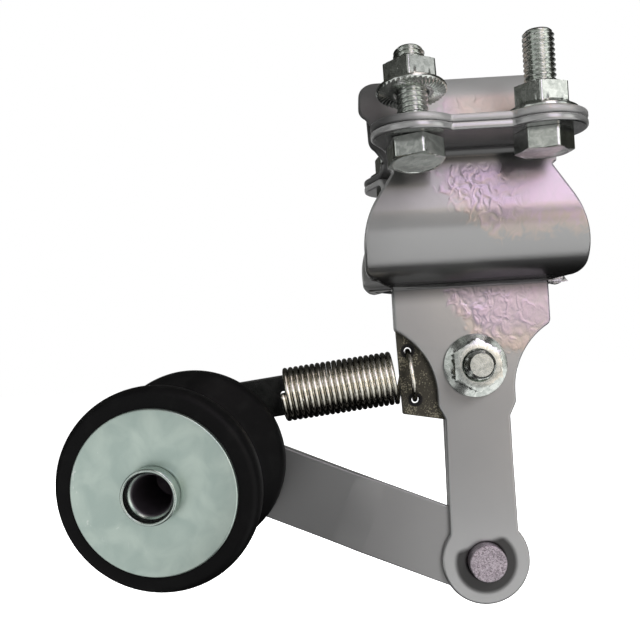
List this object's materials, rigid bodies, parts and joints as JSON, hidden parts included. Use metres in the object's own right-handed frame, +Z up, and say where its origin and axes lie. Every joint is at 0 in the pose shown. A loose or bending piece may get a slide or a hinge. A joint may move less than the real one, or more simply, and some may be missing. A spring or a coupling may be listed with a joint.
{
  "type": "chain tensioner",
  "caption": "Saddle clamp on a tube with a hanging leg, a pivoting arm with a rubber roller on its end, and an extension spring that pulls the arm up.",
  "frame": {"origin": "on the axis of the clamped tube, midway between the two hanging plates", "axes": "+X along the clamped tube, towards the side away from the roller; -Y is the side that carries the roller and the cross nut; +Z up, away from the hanging leg"},
  "size_m": [0.139, 0.0951, 0.1494],
  "materials": {
    "grey_paint": "gloss grey paint on pressed steel, orange peel",
    "zinc_plate": "bright zinc plate",
    "bare_steel": "bare turned steel, slightly dulled",
    "black_nickel": "rough black nickel",
    "dark_gloss": "gloss black",
    "spring_steel": "bright drawn wire, oiled dark",
    "black_rubber": "smooth black rubber",
    "black_nylon": "moulded nylon",
    "bronze": "sintered bronze"
  },
  "bodies": {
    "clamp": {"front_bracket": "grey_paint", "rear_bracket": "grey_paint", "clamp_cap": "grey_paint", "clamp_bolt_front_left": "zinc_plate", "clamp_bolt_front_right": "zinc_plate", "clamp_bolt_rear_left": "zinc_plate", "clamp_bolt_rear_right": "zinc_plate", "clamp_nut_front_left": "zinc_plate", "clamp_nut_front_right": "zinc_plate", "clamp_nut_rear_left": "zinc_plate", "clamp_nut_rear_right": "zinc_plate", "cross_bolt": "zinc_plate", "cross_nut": "zinc_plate", "pivot_pin": "bare_steel", "spring_bracket": "black_nickel", "extension_spring": "spring_steel", "pivot_bush": "bronze"},
    "arm": {"swing_arm": "grey_paint", "spring_link": "dark_gloss", "link_rivet": "dark_gloss", "hollow_axle": "zinc_plate", "axle_washer": "zinc_plate"},
    "roller": {"roller_core": "black_nylon", "roller_bush_front": "black_nylon", "roller_bush_rear": "black_nylon", "roller_disc_front": "zinc_plate", "roller_disc_rear": "zinc_plate", "roller_rubber": "black_rubber"}
  },
  "joints": [
    {"name": "arm_pivot", "type": "hinge", "parent": "clamp", "child": "arm", "pos_m": [0, 0, -0.0974], "axis": [0, -1, 0], "range_deg": [0, 22], "stiffness_Nm_per_rad": 4, "springref_deg": -20.05, "deforming": ["extension_spring"]},
    {"name": "roller_spin", "type": "hinge", "parent": "arm", "child": "roller", "pos_m": [-0.07874, -0.00015, -0.06366], "axis": [0.0929, 0.9914, 0.0926], "continuous": true}
  ]
}
